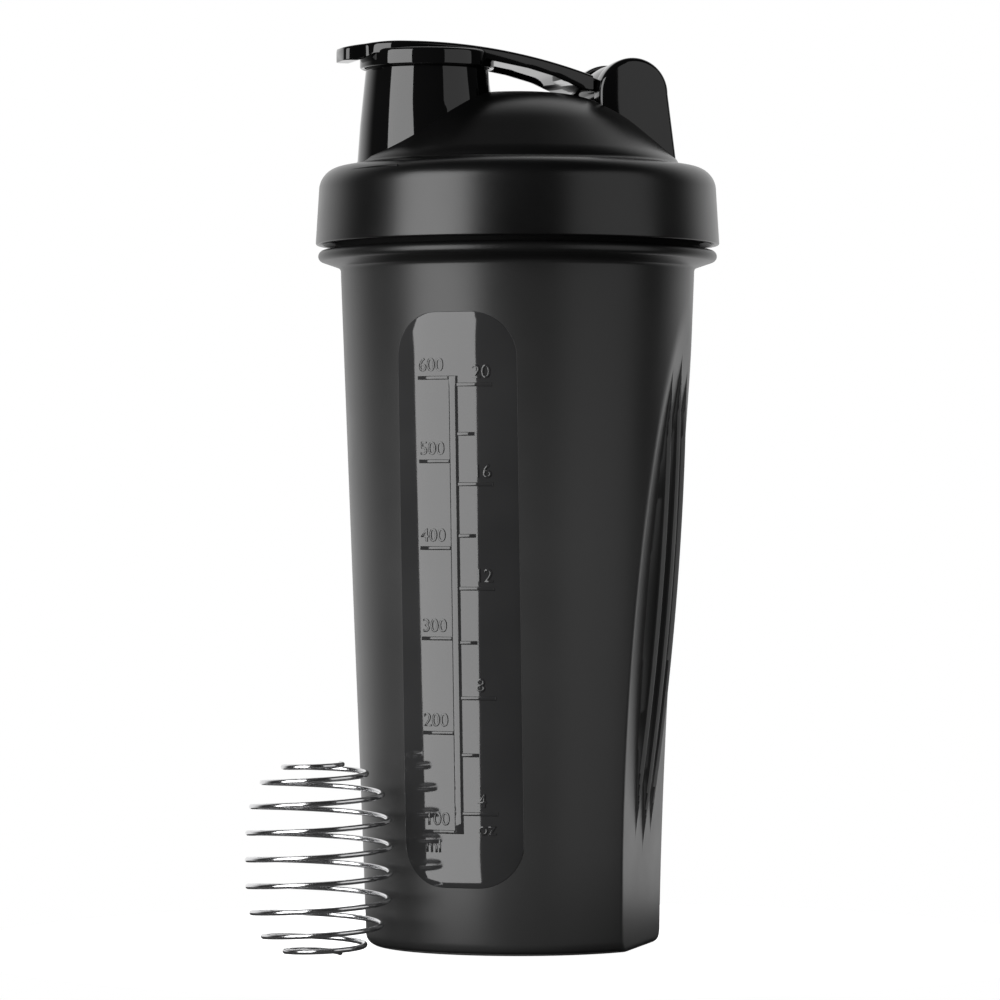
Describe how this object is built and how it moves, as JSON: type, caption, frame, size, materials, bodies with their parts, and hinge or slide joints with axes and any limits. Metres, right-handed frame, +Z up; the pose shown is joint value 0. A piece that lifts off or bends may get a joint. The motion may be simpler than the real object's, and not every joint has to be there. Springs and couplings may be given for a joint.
{
  "type": "protein shaker bottle",
  "caption": "Tapered plastic shaker bottle with ribbed grips, a clear scale window, a screw-on lid with a flip-cap spout, and a loose wire whisk ball.",
  "frame": {"origin": "centre of the cup's foot, on the surface that it stands on", "axes": "+Z up along the cup's axis; the spout points to -X and the flip cap's hinge axis is parallel to Y"},
  "size_m": [0.1229, 0.1002, 0.2233],
  "materials": {
    "cup_plastic": "satin smoke-black translucent polypropylene with a polished scale window",
    "lid_plastic": "satin black, glossy on the spout and hinge ears",
    "cap_plastic": "polished black",
    "seal_silicone": "matt silicone",
    "steel_wire": "bright drawn stainless wire"
  },
  "bodies": {
    "cup": {"cup": "cup_plastic"},
    "gasket": {"lid_gasket": "seal_silicone"},
    "lid": {"lid": "lid_plastic"},
    "flip_cap": {"flip_cap": "cap_plastic", "spout_seal": "seal_silicone"},
    "whisk_ball": {"whisk_ball": "steel_wire"}
  },
  "joints": [
    {"name": "lid_lift", "type": "slide", "parent": "cup", "child": "gasket", "axis": [0, 0, 1], "range_m": [0, 0.018]},
    {"name": "lid_turn", "type": "hinge", "parent": "gasket", "child": "lid", "pos_m": [0, 0, 0.19], "axis": [0, 0, 1], "range_deg": [0, 720]},
    {"name": "flip_cap_hinge", "type": "hinge", "parent": "lid", "child": "flip_cap", "pos_m": [0.0259, 0, 0.2112], "axis": [0, 1, 0], "range_deg": [0, 165]},
    {"name": "whisk_ball_lift", "type": "slide", "parent": "cup", "child": "whisk_ball", "axis": [-0.0948, -0.0318, 0.995], "range_m": [0, 0.06]}
  ],
  "couplings": [
    {"joint": "lid_lift", "follows": "lid_turn", "m_per_rad": 0.0014324}
  ]
}
